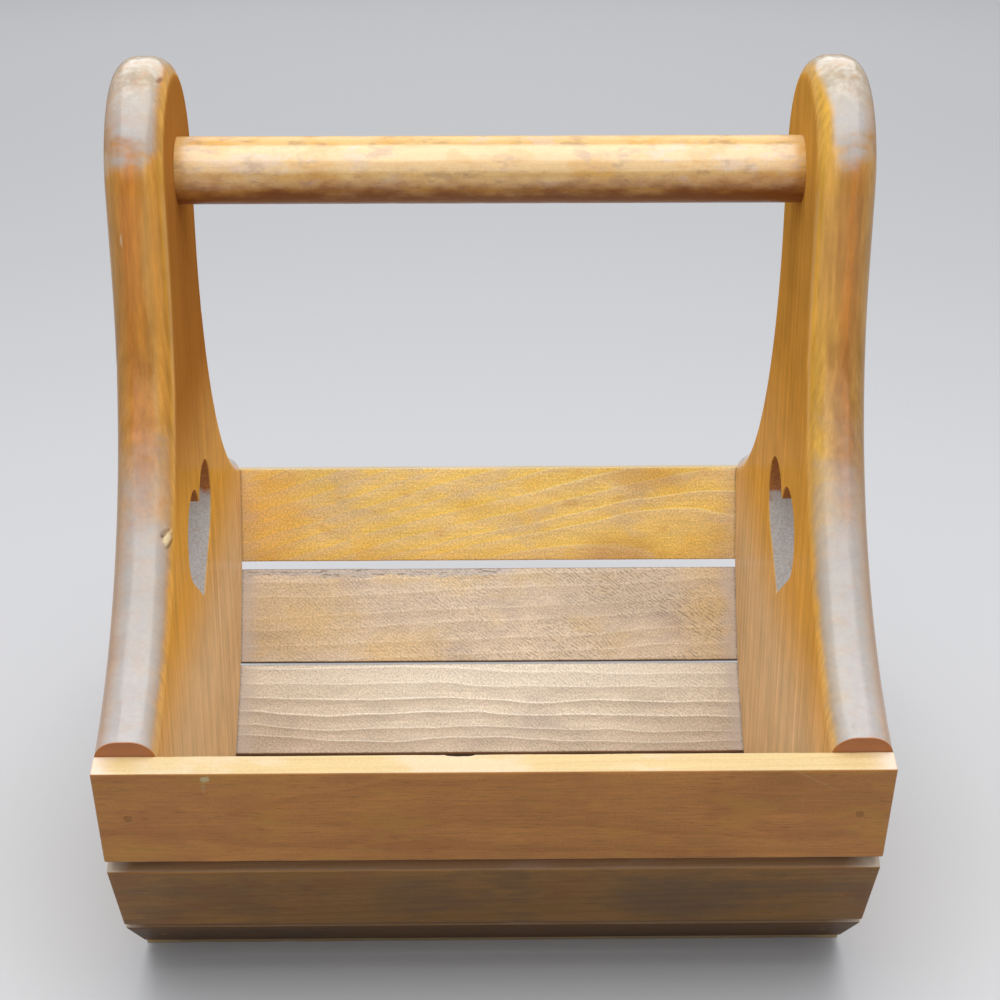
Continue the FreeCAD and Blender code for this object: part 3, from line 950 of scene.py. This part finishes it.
def make_handle(material):
    """Turned dowel with rubbed dents, its ends in the panels' sockets."""
    bm = bmesh.new()
    board = bm.verts.layers.float_vector.new("board")
    lines = []
    for x in np.linspace(-HANDLE_HALF_LENGTH, HANDLE_HALF_LENGTH, HANDLE_ROWS):
        line = []
        for k in range(HANDLE_SIDES):
            angle = 2 * math.pi * k / HANDLE_SIDES
            out = Vector((0, math.cos(angle), math.sin(angle)))
            dent = noise.noise(Vector((x * 90, out.y * 2.4, out.z * 2.4)))
            radius = HANDLE_RADIUS - DENT_DEPTH * max(0.0, dent)
            vertex = bm.verts.new(Vector((x, out.y * radius, out.z * radius + HANDLE_Z)))
            vertex[board] = Vector((x, out.y * radius, out.z * radius))
            line.append(vertex)
        lines.append(line)
    for first, second in zip(lines, lines[1:]):
        join_lines(bm, first, second)
    for line in (lines[0], lines[-1]):
        bm.faces.new(line)
    new_piece("handle_dowel", finished_mesh("handle_dowel", bm), [material], "handle_wood", "handle")


# ---- the tote

def dress_cad_nodes(materials):
    """Materials for the CAD nodes that stay."""
    for node, material in materials.items():
        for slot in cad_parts[node].material_slots:
            slot.material = material


def build_tote():
    """Every piece of the tote with its material."""
    panel = make_panel_material()
    filler = make_filler_material()
    steel = make_steel_material()
    dress_cad_nodes({
        "left_panel": panel, "right_panel": panel, "handle_screw_plugs": panel,
        "front_nail_fillers": filler, "rear_nail_fillers": filler, "bottom_nail_fillers": filler,
        "front_nails": steel, "rear_nails": steel, "bottom_nails": steel, "handle_screws": steel,
    })
    make_handle(make_handle_material())
    build_slats()


def outer_looks():
    """Varnished outside of the slats, darker towards the floor, partly as painted shade of downward faces.
    """
    light = ((194, 132, 68), (156, 95, 42))
    olive = ((164, 118, 62), (126, 84, 40))
    # partly painted shade: the lowest slats face the floor
    deep = ((113, 77, 38), (82, 52, 22))
    return {
        "upper": make_outer_slat_material(
            "slat_varnish_upper", light, seed=3.0, pith=(0.03, -0.06), gloss=0.3, marks=upper_front_marks,
            tints=[((164, 100, 56), 0.3, 12.0, 70.0, 0.5), ((196, 144, 62), 0.4, 8.0, 80.0, 0.52)]),
        "middle": make_outer_slat_material(
            "slat_varnish_middle", olive, seed=13.0, pith=(-0.04, -0.06), gloss=0.15,
            marks=middle_front_marks,
            tints=[((112, 88, 66), 0.4, 22.0, 60.0, 0.48), ((148, 90, 52), 0.4, 28.0, 70.0, 0.52)]),
        "lower": make_outer_slat_material(
            "slat_varnish_lower", deep, seed=23.0, pith=(0.06, -0.06), gloss=0.06,
            tints=[((84, 68, 50), 0.5, 32.0, 30.0, 0.5)]),
    }


def inner_looks():
    """Bare inside of the slats: gold above, grey-beige in the middle, paler below."""
    gold = ((238, 202, 104), (228, 198, 138), (252, 232, 172))
    beige = ((208, 190, 166), (218, 202, 180), (246, 232, 204))
    cream = ((194, 179, 160), (220, 208, 189), (254, 248, 236))
    return {
        "upper": make_inner_slat_material(
            "slat_inside_upper", gold, seed=5.0, rings=((-0.025, -0.02), (0.32, -0.16), 0.0066, 0.008),
            ridges=(0.06, 0.6), saw=0.12, marks=upper_rear_blush, dust=0.25,
            tints=[((234, 188, 80), 0.5, 6.0, 60.0, 0.52), ((212, 186, 150), 0.5, 9.0, 70.0, 0.5),
                   ((206, 156, 88), 0.4, 29.0, 110.0, 0.58)]),
        "middle": make_inner_slat_material(
            "slat_inside_middle", beige, seed=15.0, rings=((0.11, -0.05), (0.05, 0.02), 0.0062, 0.007),
            ridges=(0.25, 0.35), saw=1.0, marks=middle_rear_marks,
            tints=[((214, 190, 144), 0.5, 18.0, 60.0, 0.5), ((188, 172, 160), 0.5, 21.0, 60.0, 0.52)]),
        "lower": make_inner_slat_material(
            "slat_inside_lower", cream, seed=25.0, rings=((0.11, -0.05), (-0.01, 0.01), 0.0062, 0.012),
            ridges=(1.0, 1.0), saw=0.5, marks=lighter_top, fade=0.6,
            tints=[((186, 170, 166), 0.4, 26.0, 50.0, 0.56)]),
    }


def edge_looks():
    """Long edges of the slats: cream on top of the upper slats, brown and partly painted shade further down,
    beige on the floor.
    """
    pale = make_edge_material(
        "slat_edge_upper", (218, 190, 134), (206, 168, 108), (224, 204, 174), (238, 218, 202),
        seed=31.0, gloss=0.4)
    # partly painted shade of edges seen deep in the gaps between slats
    brown = make_edge_material(
        "slat_edge_lower", (138, 106, 76), (108, 78, 52), (148, 122, 102), (206, 190, 172),
        seed=35.0, gloss=0.15)
    beige = make_edge_material(
        "slat_edge_floor", (156, 132, 100), (128, 100, 70), (166, 148, 124), (196, 164, 112),
        seed=38.0, gloss=0.1)
    return {"upper": pale, "middle": brown, "lower": brown, "floor": beige}


# chips in the long corners: (corner of the section, centre along, half length, depth)
SLAT_CHIPS = {
    "front_slat_upper": [(1, -0.0121, 0.0052, 0.8 * MM), (2, 0.043, 0.010, 0.35 * MM),
                         (2, 0.112, 0.008, 0.4 * MM)],
    "rear_slat_middle": [(1, -0.03, 0.03, 0.4 * MM)],
}


def build_slats():
    """The nine slats: three in front, three behind and three in the floor."""
    outer = outer_looks()
    inner = inner_looks()
    edges = edge_looks()
    end = make_end_grain_material()
    seed = 1.0
    for group, side in (("front", -1), ("rear", 1)):
        for level, tilt in SIDE_TILTS.items():
            node = group + "_slat_" + level
            looks = [outer[level], inner[level], edges[level], end]
            make_slat(node + "_board", node, tilt, side, looks, seed, SLAT_CHIPS.get(node, ()))
            seed += 1.0
    for part, side in (("front", -1), ("middle", -1), ("rear", 1)):
        node = "bottom_slat_" + part
        looks = [outer["lower"], inner["middle"], edges["floor"], end]
        make_slat(node + "_board", node, BOTTOM_TILT, side, looks, seed)
        seed += 1.0


# ---- stage

# the camera in metres, degrees below level and to the right, and millimetres
CAMERA_PLACE = (-0.005969, -0.748404, 0.473023)
CAMERA_PITCH = 22.349
CAMERA_YAW = 0.739
CAMERA_LENS = 71.915
# the studio; the floor's greys are linear, as seen and for light that bounces off it
FLOOR_HALF = 6.0
FLOOR_SEEN = (0.62, 0.62, 0.63, 1.0)
FLOOR_BOUNCE = (0.12, 0.12, 0.12, 1.0)
SKY_STRENGTH = 0.36
DAYLIGHT = (0.97, 0.98, 1.0)
# each lamp's place, target, size and power
LAMPS = {
    "overhead": ((0.0, -0.32, 1.38), (0, -0.1, 0.15), (1.4, 1.3), 17.2),
    "front_soft": ((0.0, -1.5, 1.05), (0, 0, 0.1), (2.4, 1.3), 12.0),
    "back_soft": ((0.0, 2.5, 1.9), (0, 0.4, 0.0), (3.0, 1.6), 30.0),
}


def make_camera():
    """The photograph's view, from a fit of the camera to the tote's edges."""
    data = bpy.data.cameras.new("camera")
    data.sensor_width = 36.0
    data.lens = CAMERA_LENS
    data.clip_start = 10 * MM
    camera = new_object("camera", data)
    camera.location = CAMERA_PLACE
    camera.rotation_euler = (math.radians(90 - CAMERA_PITCH), 0, math.radians(-CAMERA_YAW))
    bpy.context.scene.camera = camera


def make_lamp(name, place, target, size, power):
    """Rectangular soft light that looks at a target."""
    data = bpy.data.lights.new(name, "AREA")
    data.shape = "RECTANGLE"
    data.size, data.size_y = size
    data.energy = power
    data.color = DAYLIGHT
    lamp = new_object(name, data)
    lamp.location = place
    lamp.rotation_euler = (Vector(target) - Vector(place)).to_track_quat("-Z", "Y").to_euler()


def make_world():
    """Even light all round."""
    world = bpy.data.worlds.new("studio")
    world.use_nodes = True
    background = world.node_tree.nodes["Background"]
    background.inputs["Color"].default_value = (*DAYLIGHT, 1.0)
    background.inputs["Strength"].default_value = SKY_STRENGTH
    bpy.context.scene.world = world


def make_floor():
    """Pale floor; light that bounces off it onto the tote is held back so that its underside stays dark."""
    mesh = bpy.data.meshes.new("floor")
    corners = [(x * FLOOR_HALF, y * FLOOR_HALF, 0) for x, y in ((-1, -1), (1, -1), (1, 1), (-1, 1))]
    mesh.from_pydata(corners, [], [(0, 1, 2, 3)])
    floor = new_object("floor", mesh)
    sh = Shader("floor_paper")
    ray = sh.node("ShaderNodeLightPath", {}).outputs
    direct = sh.larger(ray["Is Camera Ray"], ray["Is Glossy Ray"])
    direct = sh.larger(direct, ray["Is Transmission Ray"])
    colour = sh.mix(direct, FLOOR_BOUNCE, FLOOR_SEEN)
    mesh.materials.append(sh.surface(colour, 0.9, None, specular=0.1))


def set_stage():
    """Floor, camera, world and lamps."""
    make_floor()
    make_camera()
    make_world()
    for name, settings in LAMPS.items():
        make_lamp(name, *settings)
    bpy.context.scene.view_settings.view_transform = "Standard"


build_tote()
set_stage()
